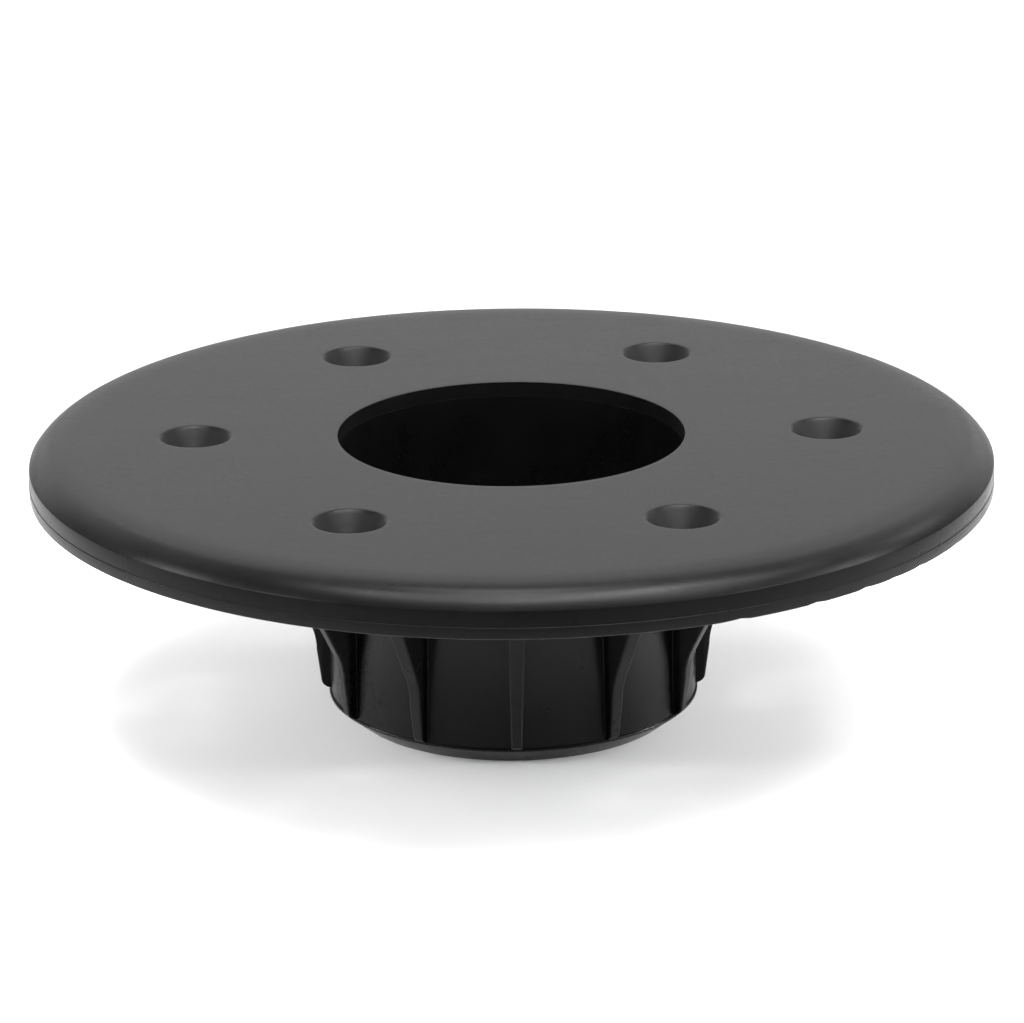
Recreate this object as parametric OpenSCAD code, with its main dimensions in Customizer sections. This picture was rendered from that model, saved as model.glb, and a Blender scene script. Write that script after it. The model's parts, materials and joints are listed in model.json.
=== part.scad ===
// Round floor flange with a crowned rim, six countersunk screw holes and a ribbed
// socket hub below. The origin is on the bore axis, in the plane of the flange's
// underside, and +Z points up out of the socket.

/* [Flange] */
// Outside diameter of the flange
flange_d = 165; // [150:1:200]
// Thickness of the flange, from underside to flat top
flange_t = 8; // [7:0.5:12]
// Height of the joint between back plate and cover, above the underside
joint_h = 2; // [1.5:0.1:2.1]
// How far the crowned edge falls below the flat top
crown_drop = 3.4; // [2:0.1:3.6]
// Width of the crowned edge
crown_w = 13.2; // [8:0.2:16]
// How late the crown turns down (higher is flatter, then steeper)
crown_power = 5.5; // [3:0.5:8]
// Thickness of the cover's skin
skin_t = 2.6; // [2:0.1:3]

/* [Socket] */
// Diameter of the socket bore
bore_d = 59.4; // [40:0.2:64]
// Thickness of the socket tube's wall
tube_wall = 2; // [1.8:0.1:4]
// Length of the tube below the flange's underside
tube_l = 37.8; // [30:0.1:60]
// Height of the end ring that shows below the tube
end_ring_h = 3.6; // [2:0.1:6]
// How far the end ring stands out from the tube
ring_proud = 0.3; // [0:0.1:0.6]
// How far the end ring's chamfer runs in from its outer edge
end_chamfer = 4.1; // [1:0.1:5]
// Width of the shoulder inside the end ring that holds the gasket
shoulder_w = 4.7; // [4.4:0.1:12]
// Thickness of the seat gasket
gasket_t = 2; // [1:0.1:3]

/* [Ribs] */
// Number of ribs around the hub
rib_n = 12; // [6:6:18]
// How far the ribs stand out from the tube near their lower end
rib_proud = 1.7; // [1:0.1:4]
// How far up the ribs their flare starts, from their lower end
rib_knee_h = 9.9; // [6:0.1:14]
// How far out the ribs reach under the flange, from the bore axis
rib_reach = 48; // [46:0.5:48]
// Thickness of a rib at its lower end
rib_t_low = 1.8; // [1.5:0.1:3]
// Thickness of a rib at the flange
rib_t_top = 3.4; // [2:0.1:6]

/* [Screw holes] */
// Number of screw holes
screw_n = 6; // [3:3:6]
// Diameter of the circle that the screw holes lie on
screw_pcd = 108; // [106:1:112]
// Diameter of each screw's through hole
screw_d = 5.8; // [4:0.1:6]
// Diameter of each countersink at the flat top
sink_d = 12.3; // [10:0.1:13]

/* [Hidden] */
$fn = 96;

// A small amount that makes a cut pass clean through
eps = 0.1;
// Radial clearance between nested pieces
fit_gap = 0.1;

flange_r = flange_d / 2;
bore_r = bore_d / 2;
tube_r = bore_r + tube_wall;
crease_z = flange_t - crown_drop;
skin_z = flange_t - skin_t;
crown_steps = 12;

// Cover: collar around the tube, skirt at the rim, bosses and webs underneath
mouth_chamfer = 0.2;
collar_t = 3.6;
collar_r = tube_r + fit_gap + collar_t;
skirt_t = 3;
skirt_in_r = flange_r - skirt_t;
boss_r = sink_d / 2 + 2.2;
web_t = 1.8;
web_n = 12;
sink_land = 0.3;
sink_depth = (sink_d - screw_d) / 2;

// O-ring between collar, tube and back plate
seal_d = 1.76;
seal_groove = 1.8;

// Back plate: chamfer on its lower edge, tongue that centres the cover's skirt
plate_chamfer = 0.4;
tongue_t = 1.8;
tongue_h = 2;
tongue_r = skirt_in_r - fit_gap;

// Lower end: recess in the tube for the gasket and the end ring's spigot
recess_depth = 4;
recess_r = bore_r + 0.7;
outlet_r = bore_r - shoulder_w;
gasket_in_r = outlet_r + 1;
seat_z = recess_depth - gasket_t;
ring_r = tube_r + ring_proud;

// Ribs: corner radius at the lower end, bend radius where the flare starts
rib_corner = 1.6;
rib_draft = 0.7;
rib_bend = 12;
rib_low_r = tube_r + rib_proud;
rib_knee_r = rib_low_r + rib_draft;
rib_root = 1;

// Point on a circle of radius r about [cx, cy]
function on_circle(cx, cy, r, a) = [cx + r * cos(a), cy + r * sin(a)];

// Height of the crowned top at a fraction f of the crown's width
function crown_z(f) = flange_t - crown_drop * pow(f, crown_power);

// Points of the crown, from the flat top out to the crease
function crown_outline() = [
    for (i = [0 : crown_steps])
        let (f = i / crown_steps)
        [flange_r - crown_w * (1 - f), crown_z(f)]
];

// One solid of revolution for the skin, the skirt and the collar
module cover_shell() {
    skin_in_r = flange_r - crown_w + skirt_t;
    rotate_extrude($fn = 180)
        polygon(concat(
            [[bore_r, skin_z], [bore_r, flange_t - mouth_chamfer], [bore_r + mouth_chamfer, flange_t]],
            crown_outline(),
            [
                [flange_r, joint_h],
                [skirt_in_r, joint_h],
                [skirt_in_r, crease_z],
                [skin_in_r, skin_z],
                [collar_r, skin_z],
                [collar_r, joint_h],
                [tube_r + seal_groove, joint_h],
                [tube_r + seal_groove, joint_h + seal_groove],
                [tube_r + fit_gap, joint_h + seal_groove],
                [tube_r + fit_gap, skin_z]
            ]
        ));
}

// Places its children at every screw hole
module at_screws() {
    for (i = [0 : screw_n - 1])
        rotate([0, 0, i * 360 / screw_n])
            translate([screw_pcd / 2, 0, 0])
                children();
}

// Through hole of one screw
module screw_hole() {
    translate([0, 0, -eps])
        cylinder(d = screw_d, h = flange_t + 2 * eps);
}

// Countersink of one screw, with a short straight land at the flat top
module countersink() {
    translate([0, 0, flange_t - sink_land - sink_depth])
        cylinder(d1 = screw_d, d2 = sink_d, h = sink_depth);
    translate([0, 0, flange_t - sink_land])
        cylinder(d = sink_d, h = sink_land + eps);
}

module flange_cover() {
    color("#2c2c2e")
    difference() {
        union() {
            cover_shell();
            at_screws()
                translate([0, 0, joint_h])
                    cylinder(r = boss_r, h = skin_z - joint_h + eps);
            for (i = [0 : web_n - 1])
                rotate([0, 0, i * 360 / web_n])
                    translate([collar_r - eps, -web_t / 2, joint_h])
                        cube([tongue_r - tongue_t - fit_gap - collar_r, web_t, skin_z - joint_h + eps]);
        }
        at_screws() {
            screw_hole();
            countersink();
        }
    }
}

// Back plate, tongue and socket tube as one solid of revolution
module plate_and_tube() {
    rotate_extrude($fn = 180)
        polygon([
            [bore_r, skin_z],
            [tube_r, skin_z],
            [tube_r, joint_h],
            [tongue_r - tongue_t, joint_h],
            [tongue_r - tongue_t, joint_h + tongue_h],
            [tongue_r, joint_h + tongue_h],
            [tongue_r, joint_h],
            [flange_r, joint_h],
            [flange_r, plate_chamfer],
            [flange_r - plate_chamfer, 0],
            [tube_r, 0],
            [tube_r, -tube_l],
            [recess_r, -tube_l],
            [recess_r, -tube_l + recess_depth],
            [bore_r, -tube_l + recess_depth]
        ]);
}

// Side view of a rib as [radius, height]: straight with a little draft at the lower
// end, then a smooth bend into the flare that meets the underside of the flange
module rib_side() {
    knee_z = rib_knee_h - tube_l;
    flare = atan((rib_reach - rib_knee_r) / -knee_z);
    bend_steps = 6;
    corner_steps = 5;
    corner = [
        for (i = [0 : corner_steps])
            on_circle(rib_low_r - rib_corner, rib_corner - tube_l, rib_corner, -90 + 90 * i / corner_steps)
    ];
    bend_start = [rib_knee_r, knee_z - rib_bend * tan(flare / 2)];
    bend = [
        for (i = [0 : bend_steps])
            on_circle(bend_start[0] + rib_bend, bend_start[1], rib_bend, 180 - flare * i / bend_steps)
    ];
    polygon(concat(
        [[tube_r - rib_root, eps], [tube_r - rib_root, -tube_l]],
        corner,
        bend,
        [[rib_reach, 0], [rib_reach, eps]]
    ));
}

// One rib, thinner at its lower end, on the +X side of the tube
module rib() {
    intersection() {
        rotate([90, 0, 0])
            translate([0, 0, -rib_t_top])
                linear_extrude(height = 2 * rib_t_top)
                    rib_side();
        rotate([90, 0, 90])
            linear_extrude(height = flange_r)
                polygon([
                    [-rib_t_low / 2, -tube_l],
                    [rib_t_low / 2, -tube_l],
                    [rib_t_top / 2, eps],
                    [-rib_t_top / 2, eps]
                ]);
    }
}

module hub_body() {
    color("#252527")
    difference() {
        union() {
            plate_and_tube();
            for (i = [0 : rib_n - 1])
                rotate([0, 0, i * 360 / rib_n])
                    rib();
        }
        at_screws()
            screw_hole();
    }
}

// Ring that closes the lower end: a spigot inside the tube's recess, a shoulder for
// the gasket, and a chamfered band that shows below the tube
module end_ring() {
    color("#222224")
    translate([0, 0, -tube_l])
        rotate_extrude($fn = 180)
            polygon([
                [outlet_r, -end_ring_h],
                [ring_r - end_chamfer, -end_ring_h],
                [ring_r, 0],
                [recess_r - fit_gap, 0],
                [recess_r - fit_gap, seat_z],
                [outlet_r, seat_z]
            ]);
}

// Flat rubber ring on the end ring's shoulder
module seat_gasket() {
    color("#19191a")
    translate([0, 0, seat_z - tube_l])
        rotate_extrude($fn = 180)
            translate([gasket_in_r, 0])
                square([recess_r - fit_gap - gasket_in_r, gasket_t]);
}

// O-ring in the groove between collar, tube and back plate
module collar_seal() {
    color("#161617")
    translate([0, 0, joint_h + seal_groove / 2])
        rotate_extrude($fn = 180)
            translate([tube_r + seal_groove / 2, 0])
                circle(d = seal_d, $fn = 32);
}

flange_cover();
hub_body();
end_ring();
seat_gasket();
collar_seal();
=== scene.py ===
"""Studio picture of a round black floor flange: crowned cover, ribbed hub, end ring and seals."""
import json
import math

import bmesh
import bpy
from mathutils import Matrix, Vector, noise
from mathutils.geometry import delaunay_2d_cdt


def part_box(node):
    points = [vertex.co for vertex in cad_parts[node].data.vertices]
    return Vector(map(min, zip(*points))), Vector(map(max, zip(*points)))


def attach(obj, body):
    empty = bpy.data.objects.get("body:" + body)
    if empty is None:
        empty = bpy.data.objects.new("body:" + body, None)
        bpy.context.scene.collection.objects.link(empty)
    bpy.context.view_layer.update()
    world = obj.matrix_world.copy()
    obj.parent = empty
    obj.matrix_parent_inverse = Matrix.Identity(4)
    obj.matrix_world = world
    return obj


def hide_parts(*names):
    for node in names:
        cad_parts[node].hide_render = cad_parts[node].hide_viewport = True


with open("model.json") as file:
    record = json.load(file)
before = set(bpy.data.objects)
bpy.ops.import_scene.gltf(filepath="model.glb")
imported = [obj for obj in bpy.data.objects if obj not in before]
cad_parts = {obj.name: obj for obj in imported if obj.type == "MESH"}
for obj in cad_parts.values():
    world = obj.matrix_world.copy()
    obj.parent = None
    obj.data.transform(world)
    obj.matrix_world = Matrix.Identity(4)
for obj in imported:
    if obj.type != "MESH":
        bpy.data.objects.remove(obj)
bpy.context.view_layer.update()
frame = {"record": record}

MM = 0.001
RIB_COUNT = 12
SCREW_COUNT = 6

# ---------------------------------------------------------------- sizes from the frame

mounts = {mount["name"]: mount for mount in frame["record"]["mounts"]}
cover_low, cover_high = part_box("flange_cover")
hub_low, hub_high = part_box("hub_body")
ring_low, ring_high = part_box("end_ring")
gasket_low, gasket_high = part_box("seat_gasket")
seal_low, seal_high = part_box("collar_seal")

TOP_Z = cover_high.z
JOINT_Z = cover_low.z
TUBE_TOP_Z = hub_high.z
TUBE_END_Z = hub_low.z
FOOT_Z = ring_low.z
FLANGE_R = cover_high.x
RING_R = ring_high.x
BORE_R = mounts["socket"]["dims"]["r_mm"] * MM
SCREW_R = mounts["floor_screws"]["dims"]["hole_r_mm"] * MM
SCREW_CIRCLE_R = mounts["floor_screws"]["dims"]["pcd_mm"] / 2 * MM

# Clearance between nested pieces
FIT_GAP = 0.1 * MM

# Crowned cover. The back plate stands out from its lower edge by the ledge
CROWN_DROP = 3.4 * MM
CROWN_WIDTH = 13.2 * MM
CROWN_POWER = 5.5
RIM_DRAFT = 0.12 * MM
LEDGE = 0.08 * MM
SINK_R = 6.15 * MM
SKIN_Z = TUBE_TOP_Z
SKIRT_IN_R = FLANGE_R - 3 * MM
GROOVE = 1.8 * MM

# Hub
TUBE_R = RING_R - 0.3 * MM
RECESS_R = BORE_R + 0.7 * MM
RECESS_TOP_Z = TUBE_END_Z + 4 * MM
RIB_LOW_R = TUBE_R + 1.7 * MM
RIB_KNEE_R = RIB_LOW_R + 0.7 * MM
RIB_KNEE_Z = TUBE_END_Z + 9.9 * MM
RIB_REACH = 48 * MM
RIB_BEND = 12 * MM
RIB_CORNER = 1.6 * MM
RIB_HALF_LOW = 0.9 * MM
RIB_HALF_TOP = 1.7 * MM
TONGUE_R = SKIRT_IN_R - FIT_GAP
TONGUE_T = 1.8 * MM
TONGUE_H = 2 * MM

# Small edge radii, and the radius at the roots of the ribs
EDGE = 0.3 * MM
ROOT = 0.1 * MM

# Steps round the flange
ROUND_STEPS = 288

# ---------------------------------------------------------------- outlines


def arc(centre, radius, start, end, steps):
    """Points of an arc in a (radius, height) plane, with both ends. Angles in degrees."""
    points = []
    for i in range(steps + 1):
        angle = math.radians(start + (end - start) * i / steps)
        points.append((centre[0] + radius * math.cos(angle), centre[1] + radius * math.sin(angle)))
    return points


def rounded(points, radii, steps=5):
    """An open outline with its inner corners rounded. radii has one radius per point."""
    result = []
    for i, (point, radius) in enumerate(zip(points, radii)):
        if radius == 0 or i in (0, len(points) - 1):
            result.append(point)
            continue
        corner = Vector(point)
        back = (Vector(points[i - 1]) - corner).normalized()
        ahead = (Vector(points[i + 1]) - corner).normalized()
        half = back.angle(ahead) / 2
        centre = corner + (back + ahead).normalized() * (radius / math.sin(half))
        first = corner + back * (radius / math.tan(half)) - centre
        last = corner + ahead * (radius / math.tan(half)) - centre
        for k in range(steps + 1):
            spoke = first.lerp(last, k / steps).normalized() * radius
            result.append(tuple(centre + spoke))
    return result


def even_angles(count):
    """Angles spread evenly round a circle, in radians."""
    return [2 * math.pi * i / count for i in range(count)]


def enclosed(x, y, walls):
    """True if a point lies between closed walls, by counting the walls crossed on the way out."""
    hits = 0
    for ax, ay, bx, by in walls:
        if (ay > y) != (by > y) and x < ax + (y - ay) / (by - ay) * (bx - ax):
            hits += 1
    return hits % 2 == 1


# ---------------------------------------------------------------- closed surfaces


class Skin:
    """Builds one closed surface from loops of vertices, strips between them and flat patches."""

    def __init__(self):
        self.mesh = bmesh.new()

    def loop(self, points):
        return [self.mesh.verts.new(point) for point in points]

    def circle(self, radius, z, angles, centre=(0, 0)):
        return self.loop(
            [(centre[0] + radius * math.cos(a), centre[1] + radius * math.sin(a), z) for a in angles]
        )

    def strip(self, first, second):
        count = len(first)
        for i in range(count):
            after = (i + 1) % count
            self.mesh.faces.new((first[i], first[after], second[after], second[i]))

    def turned(self, outline, angles, centre=(0, 0), start=None):
        """Turns a (radius, height) outline about a vertical axis. Returns its first and last loops."""
        loops = [] if start is None else [start]
        for radius, z in outline:
            loops.append(self.circle(radius, z, angles, centre))
        for first, second in zip(loops, loops[1:]):
            self.strip(first, second)
        return loops[0], loops[-1]

    def patch(self, outer, holes, spare=()):
        """Fills the flat area between an outer loop and the holes in it with triangles."""
        z = outer[0].co.z
        verts = []
        edges = []
        for loop in [outer, *holes]:
            base = len(verts)
            verts.extend(loop)
            edges.extend((base + i, base + (i + 1) % len(loop)) for i in range(len(loop)))
        verts.extend(self.mesh.verts.new((x, y, z)) for x, y in spare)
        flat = [Vector((vert.co.x, vert.co.y)) / MM for vert in verts]
        walls = [(*flat[i], *flat[k]) for i, k in edges]
        out_points, _, faces, origins, _, _ = delaunay_2d_cdt(flat, edges, [], 0, 1e-7)
        for face in faces:
            middle = sum((out_points[i] for i in face), Vector((0, 0))) / len(face)
            if enclosed(middle.x, middle.y, walls):
                self.mesh.faces.new([verts[origins[i][0]] for i in face])

    def wear_edge(self, radius, height, depth):
        """Wears the outer lower edge unevenly upwards on the front right of the rim."""
        start = 18
        end = 66
        for vert in self.mesh.verts:
            x, y, z = vert.co
            if math.hypot(x, y) < radius or not -height < z < height:
                continue
            turn = math.degrees(math.atan2(x, -y))
            share = max(0, min(1, (turn - start) / 8, (end - turn) / 10))
            ragged = noise.noise(Vector((turn / 2.6, 0, 7))) + 0.5 * noise.noise(Vector((turn, 0, 3)))
            vert.co.z += depth * share * max(0, ragged)

    def finish(self, name):
        loose = [vert for vert in self.mesh.verts if not vert.link_faces]
        bmesh.ops.delete(self.mesh, geom=loose, context="VERTS")
        bmesh.ops.recalc_face_normals(self.mesh, faces=self.mesh.faces)
        open_edges = sum(1 for edge in self.mesh.edges if len(edge.link_faces) != 2)
        print(f"{name}: {len(self.mesh.faces)} faces, {open_edges} open edges")
        data = bpy.data.meshes.new(name)
        self.mesh.to_mesh(data)
        self.mesh.free()
        data.shade_smooth()
        piece = bpy.data.objects.new(name, data)
        bpy.context.scene.collection.objects.link(piece)
        return piece


def screw_centres():
    return [
        (SCREW_CIRCLE_R * math.cos(a), SCREW_CIRCLE_R * math.sin(a)) for a in even_angles(SCREW_COUNT)
    ]


def spread_points(radii, count, keep):
    """Evenly spread points on circles, to keep a patch's triangles well shaped."""
    points = []
    for k, radius in enumerate(radii):
        for angle in even_angles(count):
            x = radius * math.cos(angle + k * math.pi / count)
            y = radius * math.sin(angle + k * math.pi / count)
            if keep(x, y):
                points.append((x, y))
    return points


def clear_of_screws(x, y, radius):
    return all(math.hypot(x - cx, y - cy) > radius for cx, cy in screw_centres())


# ---------------------------------------------------------------- cover


def crown(steps=26):
    """The crowned top, from the flat out to the crease."""
    points = []
    for i in range(1, steps + 1):
        f = 1 - (1 - i / steps) ** 1.3
        radius = FLANGE_R - RIM_DRAFT - (CROWN_WIDTH - RIM_DRAFT) * (1 - f)
        points.append((radius, TOP_Z - CROWN_DROP * f**CROWN_POWER))
    return points


def boss_outline(boss_r, web_half, web_in, web_out):
    """Outline of a screw boss with a web running in towards the collar and out towards the rim."""
    lean = math.asin(web_half / boss_r)
    steps = 14
    points = [(web_out, -web_half), (web_out, web_half)]
    points += [
        (SCREW_CIRCLE_R + boss_r * math.cos(a), boss_r * math.sin(a))
        for a in (lean + (math.pi - 2 * lean) * i / steps for i in range(steps + 1))
    ]
    points += [(web_in, web_half), (web_in, -web_half)]
    points += [
        (SCREW_CIRCLE_R + boss_r * math.cos(a), boss_r * math.sin(a))
        for a in (math.pi + lean + (math.pi - 2 * lean) * i / steps for i in range(steps + 1))
    ]
    return points


def make_cover():
    skin = Skin()
    angles = even_angles(ROUND_STEPS)
    hole_angles = even_angles(56)
    collar_r = TUBE_R + 3.7 * MM
    web_in = collar_r + 0.4 * MM
    web_out = FLANGE_R - CROWN_WIDTH + 2.5 * MM
    web_half = 0.9 * MM
    boss_r = SINK_R + 2.2 * MM

    # Flat top, crown, crease, rim and the lower edge at the joint line
    flat_r = FLANGE_R - CROWN_WIDTH
    crease = crown()[-1]
    side = [
        crown()[-2],
        crease,
        (FLANGE_R - LEDGE, JOINT_Z),
        (SKIRT_IN_R, JOINT_Z),
        (SKIRT_IN_R, JOINT_Z + EDGE),
    ]
    outside = [(flat_r, TOP_Z)] + crown()[:-2]
    outside += rounded(side, [0, 0.35 * MM, 0.06 * MM, EDGE / 2, 0])
    outside += [(SKIRT_IN_R, TOP_Z - CROWN_DROP), (flat_r + 3 * MM, SKIN_Z)]
    top_loop, under_loop = skin.turned(outside, angles)

    # Bore mouth, collar and the groove that holds the O-ring
    mouth = rounded(
        [(BORE_R + 1.2 * MM, TOP_Z), (BORE_R, TOP_Z), (BORE_R, SKIN_Z), (TUBE_R + FIT_GAP, SKIN_Z)],
        [0, 0.15 * MM, 0.03 * MM, 0],
        6,
    )
    mouth += [
        (TUBE_R + FIT_GAP, JOINT_Z + GROOVE),
        (TUBE_R + GROOVE, JOINT_Z + GROOVE),
        (TUBE_R + GROOVE, JOINT_Z),
        (collar_r, JOINT_Z),
        (collar_r, SKIN_Z),
    ]
    mouth_loop, collar_loop = skin.turned(mouth, angles)

    # Countersinks with a soft upper edge, then the through holes down to the boss ends
    sink = rounded(
        [
            (SINK_R + MM, TOP_Z),
            (SINK_R + 0.05 * MM, TOP_Z),
            (SCREW_R, TOP_Z - 1.05 * (SINK_R - SCREW_R)),
            (SCREW_R, JOINT_Z),
            (SCREW_R + 0.6 * MM, JOINT_Z),
        ],
        [0, 0.7 * MM, 0.25 * MM, 0.1 * MM, 0],
    )
    sink_loops = []
    boss_holes = []
    for centre in screw_centres():
        first, last = skin.turned(sink, hole_angles, centre)
        sink_loops.append(first)
        boss_holes.append(last)

    # Bosses and webs stand on the underside of the skin
    wall_loops = []
    lower_loops = []
    for i in range(2 * SCREW_COUNT):
        turn = Matrix.Rotation(i * math.pi / SCREW_COUNT, 2)
        if i % 2 == 0:
            outline = boss_outline(boss_r, web_half, web_in, web_out)
        else:
            outline = [
                (web_in, -web_half), (web_out, -web_half), (web_out, web_half), (web_in, web_half)
            ]
        turned = [turn @ Vector(point) for point in outline]
        upper = skin.loop([(x, y, SKIN_Z) for x, y in turned])
        lower = skin.loop([(x, y, JOINT_Z) for x, y in turned])
        skin.strip(upper, lower)
        wall_loops.append(upper)
        lower_loops.append(lower)

    top_spare = spread_points(
        [BORE_R + k * MM for k in (5, 10, 15, 20, 25, 30, 35)],
        120,
        lambda x, y: clear_of_screws(x, y, SINK_R + 2 * MM),
    )
    skin.patch(top_loop, [mouth_loop, *sink_loops], top_spare)
    skin.patch(under_loop, [collar_loop, *wall_loops])
    for i, lower in enumerate(lower_loops):
        holes = [] if i % 2 else [boss_holes[i // 2]]
        skin.patch(lower, holes)
    return skin.finish("cover_moulding")


# ---------------------------------------------------------------- hub


def rib_radius(z):
    """How far a rib's outer face is from the axis at height z."""
    flare = math.atan((RIB_REACH - RIB_KNEE_R) / -RIB_KNEE_Z)
    bend_z = RIB_KNEE_Z - RIB_BEND * math.tan(flare / 2)
    bend_end_z = bend_z + RIB_BEND * math.sin(flare)
    corner_z = TUBE_END_Z + RIB_CORNER
    if z < corner_z:
        drop = min(corner_z - z, RIB_CORNER)
        return RIB_LOW_R - RIB_CORNER + math.sqrt(RIB_CORNER**2 - drop**2)
    if z < bend_z:
        return RIB_LOW_R + (RIB_KNEE_R - RIB_LOW_R) * (z - corner_z) / (bend_z - corner_z)
    if z < bend_end_z:
        return RIB_KNEE_R + RIB_BEND - math.sqrt(RIB_BEND**2 - (z - bend_z) ** 2)
    return RIB_REACH + z * math.tan(flare)


def rib_half(z):
    """Half of a rib's thickness at height z."""
    return RIB_HALF_TOP + (RIB_HALF_TOP - RIB_HALF_LOW) * z / -TUBE_END_Z


def half_sector(tube_r, rib_r, half):
    """From the middle of a rib's outer face round to midway between ribs, as (x, y) points."""
    height = max(rib_r - tube_r, 0)
    scale = min(1, height / (EDGE + ROOT))
    edge = EDGE * scale
    root = ROOT * scale
    points = []
    for i in range(4):
        y = (half - edge) * i / 4
        points.append((math.sqrt(rib_r**2 - y**2), y))
    face_x = math.sqrt(rib_r**2 - (half - edge) ** 2)
    for i in range(5):
        a = math.pi / 2 * i / 4
        points.append((face_x - edge + edge * math.cos(a), half - edge + edge * math.sin(a)))
    root_x = math.sqrt((tube_r + root) ** 2 - (half + root) ** 2)
    last_x = face_x - edge
    for i in (0.05, 0.3, 0.7, 0.95):
        points.append((last_x + (root_x - last_x) * i, half))
    turn = math.atan2(half + root, root_x)
    for i in range(7):
        a = -math.pi / 2 - (math.pi / 2 - turn) * i / 6
        points.append((root_x + root * math.cos(a), half + root + root * math.sin(a)))
    end = math.pi / RIB_COUNT
    for i in range(1, 9):
        a = turn + (end - turn) * i / 8
        points.append((tube_r * math.cos(a), tube_r * math.sin(a)))
    return points


def hub_section(z, swell=0.0):
    """The hub's outline at height z, all the way round. swell moves it out to form a fillet."""
    half = half_sector(TUBE_R + swell, rib_radius(z) + swell, rib_half(z) + swell)
    mirrored = [(x, -y) for x, y in reversed(half[1:-1])]
    sector = mirrored + half
    points = []
    for i in range(RIB_COUNT):
        turn = 2 * math.pi * i / RIB_COUNT
        for x, y in sector:
            points.append(
                (x * math.cos(turn) - y * math.sin(turn), x * math.sin(turn) + y * math.cos(turn), z)
            )
    return points


def hub_levels():
    """Heights from the hub's lower edge up to the plate, close together where the ribs curve."""
    levels = []
    for i in range(1, 9):
        levels.append(TUBE_END_Z + RIB_CORNER * (1 - math.cos(math.pi / 2 * i / 8)))
    first = levels[-1]
    last = -1.2 * MM
    count = 44
    levels += [first + (last - first) * i / count for i in range(1, count + 1)]
    return levels


def make_hub():
    skin = Skin()
    rim_angles = even_angles(ROUND_STEPS)
    hole_angles = even_angles(48)
    fillet = 1.0 * MM

    # Outer surface of the tube and its ribs, with a fillet where it meets the plate
    loops = []
    for z in hub_levels():
        loops.append(skin.loop(hub_section(z)))
    for i in range(1, 7):
        a = math.pi / 2 * i / 6
        z = -fillet + fillet * math.sin(a)
        loops.append(skin.loop(hub_section(z, fillet * (1 - math.cos(a)))))
    for first, second in zip(loops, loops[1:]):
        skin.strip(first, second)
    bottom_loop, plate_loop = loops[0], loops[-1]

    # Lower edge, recess, bore wall and the top of the tube, down to the plate's upper face. The
    # inner loops' angles are eased toward even spacing, away from the ribs' close steps
    first = math.atan2(bottom_loop[0].co.y, bottom_loop[0].co.x)
    round_angles = []
    for vert, spread in zip(bottom_loop, even_angles(len(bottom_loop))):
        turn = (math.atan2(vert.co.y, vert.co.x) - first) % (2 * math.pi)
        round_angles.append(first + 0.85 * turn + 0.15 * spread)
    inside = rounded(
        [
            (TUBE_R, TUBE_END_Z + MM),
            (TUBE_R, TUBE_END_Z),
            (RECESS_R, TUBE_END_Z),
            (RECESS_R, RECESS_TOP_Z),
            (BORE_R, RECESS_TOP_Z),
            (BORE_R, TUBE_TOP_Z),
            (TUBE_R, TUBE_TOP_Z),
            (TUBE_R, JOINT_Z),
            (TUBE_R + MM, JOINT_Z),
        ],
        [0, 0.02 * MM, 0, 0, EDGE, 0.03 * MM, 0.1 * MM, 0, 0],
        3,
    )
    _, tube_foot = skin.turned(inside[1:], round_angles, start=bottom_loop)

    # Rim of the back plate below the joint line, its upper face and the tongue
    outline = [
        (FLANGE_R - 1.4 * MM, 0),
        (FLANGE_R - 0.04 * MM, 0),
        (FLANGE_R, JOINT_Z),
        (TONGUE_R, JOINT_Z),
        (TONGUE_R, JOINT_Z + TONGUE_H),
        (TONGUE_R - TONGUE_T, JOINT_Z + TONGUE_H),
        (TONGUE_R - TONGUE_T, JOINT_Z),
        (TONGUE_R - TONGUE_T - MM, JOINT_Z),
    ]
    radii = [0, EDGE, 0.1 * MM, 0, EDGE, EDGE, 0, 0]
    under_outer, plate_top = skin.turned(rounded(outline, radii), rim_angles)

    # Screw holes through the plate
    lower_holes = []
    upper_holes = []
    for centre in screw_centres():
        wall = rounded(
            [
                (SCREW_R + 0.9 * MM, 0),
                (SCREW_R, 0),
                (SCREW_R, JOINT_Z),
                (SCREW_R + 0.6 * MM, JOINT_Z),
            ],
            [0, EDGE, 0.1 * MM, 0],
            4,
        )
        first, last = skin.turned(wall, hole_angles, centre)
        lower_holes.append(first)
        upper_holes.append(last)

    sector = 2 * math.pi / RIB_COUNT

    def beside_ribs(x, y):
        """True if a point of the underside is well clear of every rib's line and every screw hole."""
        radius = math.hypot(x, y)
        angle = math.atan2(y, x)
        local = angle - sector * round(angle / sector)
        aside = abs(radius * math.sin(local))
        return aside > RIB_HALF_TOP + 2 * fillet and clear_of_screws(x, y, SCREW_R + 2 * MM)

    spare = spread_points([r * MM for r in range(38, 79, 5)], 96, beside_ribs)
    skin.patch(under_outer, [plate_loop, *lower_holes], spare)
    skin.patch(plate_top, [tube_foot, *upper_holes])
    skin.wear_edge(FLANGE_R - MM, 0.7 * MM, 0.5 * MM)
    return skin.finish("hub_moulding")


# ---------------------------------------------------------------- rings


def make_turned_ring(name, corners, radii):
    """A closed ring turned from a closed outline whose corners are rounded."""
    skin = Skin()
    closed = [corners[-1], *corners, corners[0]]
    outline = rounded(closed, [0, *radii, 0])[1:-1]
    first, last = skin.turned(outline, even_angles(256))
    skin.strip(last, first)
    return skin.finish(name)


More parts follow.
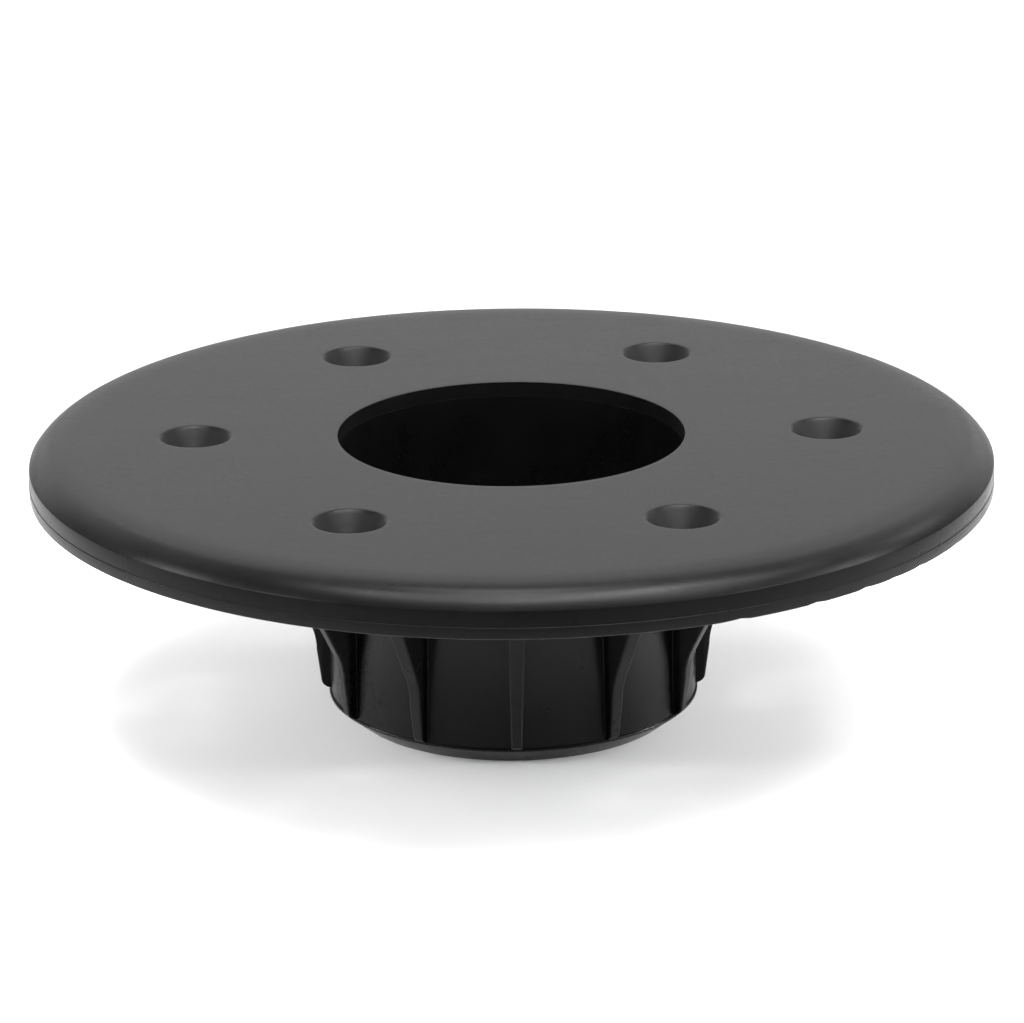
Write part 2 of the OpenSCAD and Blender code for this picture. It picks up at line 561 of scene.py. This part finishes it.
def make_end_ring():
    outlet_r = 25 * MM
    spigot_r = RECESS_R - FIT_GAP
    lip_r = RING_R - 4.1 * MM
    corners = [
        (outlet_r, FOOT_Z),
        (lip_r, FOOT_Z),
        (RING_R, TUBE_END_Z - 0.4 * MM),
        (RING_R, TUBE_END_Z),
        (spigot_r, TUBE_END_Z),
        (spigot_r, gasket_low.z),
        (outlet_r, gasket_low.z),
    ]
    radii = [0.4 * MM, 0.35 * MM, 0.3 * MM, 0.12 * MM, 0, EDGE, EDGE]
    return make_turned_ring("end_ring_moulding", corners, radii)


def make_gasket():
    inner_r = 26 * MM
    corners = [
        (inner_r, gasket_low.z),
        (gasket_high.x, gasket_low.z),
        (gasket_high.x, gasket_high.z),
        (inner_r + 1.4 * MM, gasket_high.z),
        (inner_r, gasket_high.z - 0.7 * MM),
    ]
    radii = [EDGE, EDGE, EDGE, EDGE, EDGE]
    return make_turned_ring("rubber_seat_ring", corners, radii)


def make_collar_seal():
    cord_r = (seal_high.z - seal_low.z) / 2
    skin = Skin()
    outline = arc((seal_high.x - cord_r, seal_low.z + cord_r), cord_r, 0, 360, 24)[:-1]
    first, last = skin.turned(outline, even_angles(160))
    skin.strip(last, first)
    return skin.finish("rubber_collar_seal")


# ---------------------------------------------------------------- materials


class Nodes:
    """Shorthand for building a material's node tree."""

    def __init__(self, name):
        self.material = bpy.data.materials.new(name)
        self.material.use_nodes = True
        self.tree = self.material.node_tree
        self.tree.nodes.clear()

    def add(self, kind, **values):
        node = self.tree.nodes.new(kind)
        for key, value in values.items():
            setattr(node, key, value)
        return node

    def link(self, source, target):
        self.tree.links.new(source, target)

    def noise(self, coords, scale, detail=3.0, roughness=0.5):
        node = self.add("ShaderNodeTexNoise")
        node.inputs["Scale"].default_value = scale
        node.inputs["Detail"].default_value = detail
        node.inputs["Roughness"].default_value = roughness
        self.link(coords, node.inputs["Vector"])
        return node.outputs["Fac"]

    def ramp(self, source, low, high, start, end):
        """Maps source from [low, high] to [start, end], clamped."""
        node = self.add("ShaderNodeMapRange")
        node.inputs["From Min"].default_value = low
        node.inputs["From Max"].default_value = high
        node.inputs["To Min"].default_value = start
        node.inputs["To Max"].default_value = end
        self.link(source, node.inputs["Value"])
        return node.outputs["Result"]

    def math(self, operation, first, second=0):
        node = self.add("ShaderNodeMath", operation=operation)
        for socket, value in zip(node.inputs, (first, second)):
            if isinstance(value, (int, float)):
                socket.default_value = value
            else:
                self.link(value, socket)
        return node.outputs[0]

    def blend(self, factor, first, second):
        """Mixes two colours. Each is a (red, green, blue) triple or another node's output."""
        node = self.add("ShaderNodeMix", data_type="RGBA")
        for key, value in (("A", first), ("B", second)):
            if isinstance(value, tuple):
                node.inputs[key].default_value = (*value, 1)
            else:
                self.link(value, node.inputs[key])
        self.link(factor, node.inputs["Factor"])
        return node.outputs["Result"]

    def bump(self, height, strength, distance, normal=None):
        node = self.add("ShaderNodeBump")
        node.inputs["Strength"].default_value = strength
        node.inputs["Distance"].default_value = distance
        self.link(height, node.inputs["Height"])
        if normal:
            self.link(normal, node.inputs["Normal"])
        return node.outputs["Normal"]

    def finish(self, shader):
        output = self.add("ShaderNodeOutputMaterial")
        self.link(shader.outputs["BSDF"], output.inputs["Surface"])
        return self.material

    def stretched(self, coords, turn, squeeze):
        """Coordinates turned about Z and squeezed along Y, for marks that run one way."""
        node = self.add("ShaderNodeMapping")
        node.inputs["Rotation"].default_value = (0, 0, math.radians(turn))
        node.inputs["Scale"].default_value = (1, squeeze, 1)
        self.link(coords, node.inputs["Vector"])
        return node.outputs["Vector"]


def moulded_plastic(name, dark, light, rough, specular, grain, scuffs=0, drilled_rough=0, crest_sheen=0):
    """Black moulded plastic: fine spark grain, faint flow mottling and a slight waviness.

    scuffs is the strength of fine hairline scratches.
    drilled_rough is how much rougher the holes in the flat top are than the moulded skin.
    The ribs' outer faces are painted a lighter tone, set by the last argument: a painted sheen in
    place of the light they reflect.
    """
    n = Nodes(name)
    coords = n.add("ShaderNodeTexCoord").outputs["Object"]
    shader = n.add("ShaderNodeBsdfPrincipled")
    shader.inputs["Specular IOR Level"].default_value = specular
    shader.inputs["IOR"].default_value = 1.5

    mottle = n.noise(coords, 60, 5, 0.6)
    flow = n.noise(n.stretched(coords, 25, 5), 45, 4, 0.55)
    cloud = n.math("ADD", n.math("MULTIPLY", mottle, 0.6), n.math("MULTIPLY", flow, 0.4))
    fine = n.noise(coords, 2600, 2, 0.5)
    grit = n.noise(coords, 900, 3, 0.6)

    colour = n.blend(n.ramp(cloud, 0.35, 0.65, 0, 1), dark, light)
    base = n.ramp(cloud, 0.3, 0.7, rough - 0.03, rough + 0.035)
    polish = n.math("ADD", base, n.ramp(grit, 0.35, 0.7, -0.02, 0.025))
    height = n.math("ADD", n.math("MULTIPLY", fine, 0.55), n.math("MULTIPLY", grit, 0.45))

    axis = n.add("ShaderNodeSeparateXYZ")
    n.link(coords, axis.inputs[0])
    across = n.math("MULTIPLY", axis.outputs["X"], axis.outputs["X"])
    along = n.math("MULTIPLY", axis.outputs["Y"], axis.outputs["Y"])
    radius = n.math("SQRT", n.math("ADD", across, along))
    if scuffs:
        lines = n.noise(n.stretched(coords, -35, 40), 90, 2, 0.5)
        lines_across = n.noise(n.stretched(coords, 62, 55), 70, 2, 0.5)
        hairline = n.ramp(lines, 0.69, 0.72, 0, 1)
        hairline_across = n.ramp(lines_across, 0.70, 0.73, 0, 1)
        hairlines = n.math("MAXIMUM", hairline, hairline_across)
        polish = n.math("ADD", polish, n.math("MULTIPLY", hairlines, 0.10 * scuffs))
        height = n.math("SUBTRACT", height, n.math("MULTIPLY", hairlines, 0.5 * scuffs))
    if drilled_rough:
        inner = n.ramp(radius, FLANGE_R - CROWN_WIDTH - MM, FLANGE_R - CROWN_WIDTH, 1, 0)
        sunk = n.ramp(axis.outputs["Z"], TOP_Z - 0.6 * MM, TOP_Z - 0.2 * MM, 1, 0)
        drilled = n.math("MULTIPLY", n.math("MULTIPLY", inner, sunk), drilled_rough)
        polish = n.math("ADD", polish, drilled)
    if crest_sheen:
        # Painted sheen: the ribs' outer faces, out from the tube, are painted lighter in place of the
        # light they reflect
        out = n.ramp(radius, TUBE_R + 1.3 * MM, TUBE_R + 1.6 * MM, 0, 1)
        below = n.ramp(axis.outputs["Z"], -1.5 * MM, -0.5 * MM, 1, 0)
        uneven = n.ramp(grit, 0.3, 0.7, 0.8, 1.1)
        crest = n.math("MULTIPLY", n.math("MULTIPLY", out, below), uneven)
        colour = n.blend(crest, colour, (crest_sheen, crest_sheen, crest_sheen * 1.02))

    wave = n.bump(n.noise(coords, 45, 1, 0.4), 0.2, 0.0002)
    n.link(colour, shader.inputs["Base Color"])
    n.link(polish, shader.inputs["Roughness"])
    n.link(n.bump(height, grain, 0.00006, wave), shader.inputs["Normal"])
    return n.finish(shader)


def rubber(name, dark, light):
    """Dull black rubber with a powdery bloom."""
    n = Nodes(name)
    coords = n.add("ShaderNodeTexCoord").outputs["Object"]
    shader = n.add("ShaderNodeBsdfPrincipled")
    shader.inputs["Specular IOR Level"].default_value = 0.3
    bloom = n.noise(coords, 140, 6, 0.65)
    grain = n.noise(coords, 1800, 3, 0.6)
    n.link(n.blend(n.ramp(bloom, 0.4, 0.7, 0, 1), dark, light), shader.inputs["Base Color"])
    n.link(n.ramp(bloom, 0.3, 0.7, 0.62, 0.8), shader.inputs["Roughness"])
    n.link(n.bump(grain, 0.4, 0.00008), shader.inputs["Normal"])
    return n.finish(shader)


def paper(name, shade):
    """Plain studio paper for the floor."""
    n = Nodes(name)
    coords = n.add("ShaderNodeTexCoord").outputs["Object"]
    shader = n.add("ShaderNodeBsdfPrincipled")
    shader.inputs["Roughness"].default_value = 0.9
    shader.inputs["Specular IOR Level"].default_value = 0.1
    darker = shade * 0.99
    fibre = n.noise(coords, 30, 4, 0.6)
    n.link(n.blend(fibre, (darker,) * 3, (shade,) * 3), shader.inputs["Base Color"])
    return n.finish(shader)


# ---------------------------------------------------------------- the object


def install(piece, node, material):
    """Puts a piece in place of its CAD node."""
    piece.data.materials.append(material)
    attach(piece, "root")
    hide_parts(node)


cover_plastic = moulded_plastic(
    "cover_black",
    dark=(0.0014, 0.0014, 0.0016),
    light=(0.0030, 0.0030, 0.0033),
    rough=0.30,
    specular=0.08,
    grain=0.15,
    scuffs=1.0,
    drilled_rough=0.18,
)
hub_plastic = moulded_plastic(
    "hub_black",
    dark=(0.0009, 0.0009, 0.0010),
    light=(0.0018, 0.0018, 0.0019),
    rough=0.30,
    specular=0.12,
    grain=0.08,
    # Lighter tone painted on the ribs' outer faces as a painted sheen
    crest_sheen=0.009,
)
gasket_rubber = rubber("gasket_rubber", (0.006, 0.006, 0.006), (0.012, 0.012, 0.012))
seal_rubber = rubber("seal_rubber", (0.005, 0.005, 0.005), (0.010, 0.010, 0.010))

install(make_cover(), "flange_cover", cover_plastic)
install(make_hub(), "hub_body", hub_plastic)
install(make_end_ring(), "end_ring", hub_plastic)
install(make_gasket(), "seat_gasket", gasket_rubber)
install(make_collar_seal(), "collar_seal", seal_rubber)

# ---------------------------------------------------------------- floor, lights and camera


def make_floor():
    """A large flat sheet of pale paper under the fitting."""
    data = bpy.data.meshes.new("floor")
    reach = 6.0
    corners = [(-reach, -reach), (reach, -reach), (reach, reach), (-reach, reach)]
    data.from_pydata([(x, y, FOOT_Z) for x, y in corners], [], [(0, 1, 2, 3)])
    floor = bpy.data.objects.new("floor", data)
    bpy.context.scene.collection.objects.link(floor)
    data.materials.append(paper("floor_paper", 0.7))


def make_world(level):
    world = bpy.data.worlds.new("studio")
    bpy.context.scene.world = world
    world.use_nodes = True
    background = world.node_tree.nodes["Background"]
    background.inputs["Color"].default_value = (1, 1, 1, 1)
    background.inputs["Strength"].default_value = level


def toward(azimuth, elevation, distance=1.0):
    """A point seen from the fitting. Azimuth 0 is toward the camera, 90 is picture right. Degrees."""
    turn = math.radians(azimuth)
    rise = math.radians(elevation)
    level = math.cos(rise)
    return Vector((math.sin(turn) * level, -math.cos(turn) * level, math.sin(rise))) * distance


def make_softbox(name, place, aim, width, height, spread, radiance):
    """A rectangular softbox at place that faces aim. A narrow spread acts as a grid on its face.

    radiance is how bright the face would look without the grid, for the same total power.
    """
    data = bpy.data.lights.new(name, "AREA")
    data.shape = "RECTANGLE"
    data.size = width
    data.size_y = height
    data.spread = math.radians(spread)
    data.energy = radiance * math.pi * width * height
    light = bpy.data.objects.new(name, data)
    light.location = place
    light.rotation_mode = "QUATERNION"
    light.rotation_quaternion = (aim - place).to_track_quat("-Z", "Y")
    light.visible_camera = False
    bpy.context.scene.collection.objects.link(light)


def make_lights():
    """Wide boxes behind, gridded boxes overhead and at the sides, and more light on the floor."""
    middle = Vector((0, 0, 0))
    back_distance = 3
    for azimuth, radiance in ((180, 0.72), (150, 0.93), (-150, 0.91)):
        place = toward(azimuth, 16, back_distance)
        make_softbox(f"back_low_{azimuth}", place, middle, 1.5, 1.3, 180, radiance)
    for azimuth, radiance in ((180, 1.89), (135, 1.83), (-135, 1.35)):
        place = toward(azimuth, 42, back_distance)
        make_softbox(f"back_high_{azimuth}", place, middle, 2.1, 1.4, 180, radiance)

    # Azimuth, elevation and radiance of the boxes that shape the crown's highlights
    overhead = (
        (0, 90, 0.44),
        (0, 74, 0.56),
        (45, 74, 0.43),
        (90, 74, 0.66),
        (180, 74, 0.32),
        (-90, 74, 0.26),
        (-45, 74, 0.16),
        (0, 58, 0.06),
        (60, 58, 0.24),
        (90, 58, 0.24),
    )
    top_distance = 0.8
    top_size = 0.26
    for azimuth, elevation, radiance in overhead:
        place = toward(azimuth, elevation, top_distance)
        make_softbox(f"top_{azimuth}_{elevation}", place, middle, top_size, top_size, 20, radiance)

    # Side boxes aimed at the floor below the rim, which the rim and the hub reflect
    side_distance = 0.7
    side_rise = 26
    side_size = 0.2
    for azimuth, radiance in ((60, 0.60), (90, 0.65), (120, 0.15), (-60, 0.70), (-90, 0.65)):
        place = toward(azimuth, side_rise, side_distance)
        aim = toward(azimuth, 0, FLANGE_R) + Vector((0, 0, FOOT_Z))
        make_softbox(f"side_{azimuth}_{side_rise}", place, aim, side_size, side_size, 24, radiance)

    # Low strips that reach the hub's sides under the flange
    for azimuth in (90, -90):
        place = toward(azimuth, 0, 0.36) + Vector((0, 0, FOOT_Z / 2))
        make_softbox(f"strip_{azimuth}", place, Vector((0, 0, FOOT_Z)), 0.24, 0.036, 14, 3.0)

    # Boxes that look straight down at the floor in front and behind
    for azimuth in (50, -50):
        spot = toward(azimuth, 0, 0.27)
        make_softbox(f"floor_{azimuth}", spot + Vector((0, 0, 0.36)), spot, 0.2, 0.2, 60, 3.0)
    back_y = 0.36
    place = Vector((0, back_y, 0.7))
    make_softbox("floor_back", place, Vector((0, back_y, FOOT_Z)), 0.5, 0.4, 60, 1.3)


def make_camera():
    """A long lens a little above the flange, with one screw hole almost straight to its right."""
    elevation = math.radians(18.40)
    roll = math.radians(-0.506)
    turn = math.radians(-0.85)
    distance = 10.079 * FLANGE_R
    across = -0.00156 * FLANGE_R
    down = -0.1646 * FLANGE_R
    right = Vector(
        (math.cos(roll), math.sin(roll) * math.sin(elevation), math.sin(roll) * math.cos(elevation))
    )
    ahead = Vector((0, math.cos(elevation), -math.sin(elevation)))
    below = ahead.cross(right)
    place = Vector((0, 0, TOP_Z)) - right * across - below * down - ahead * distance
    basis = Matrix((right, -below, -ahead)).transposed()
    data = bpy.data.cameras.new("camera")
    data.sensor_width = 36
    data.lens = 170.8
    data.clip_start = 0.01
    data.clip_end = 20
    camera = bpy.data.objects.new("camera", data)
    camera.matrix_world = (
        Matrix.Rotation(turn, 4, "Z") @ Matrix.Translation(place) @ basis.to_4x4()
    )
    bpy.context.scene.collection.objects.link(camera)
    bpy.context.scene.camera = camera


make_floor()
make_world(0.62)
make_lights()
make_camera()
bpy.context.scene.view_settings.view_transform = "Standard"
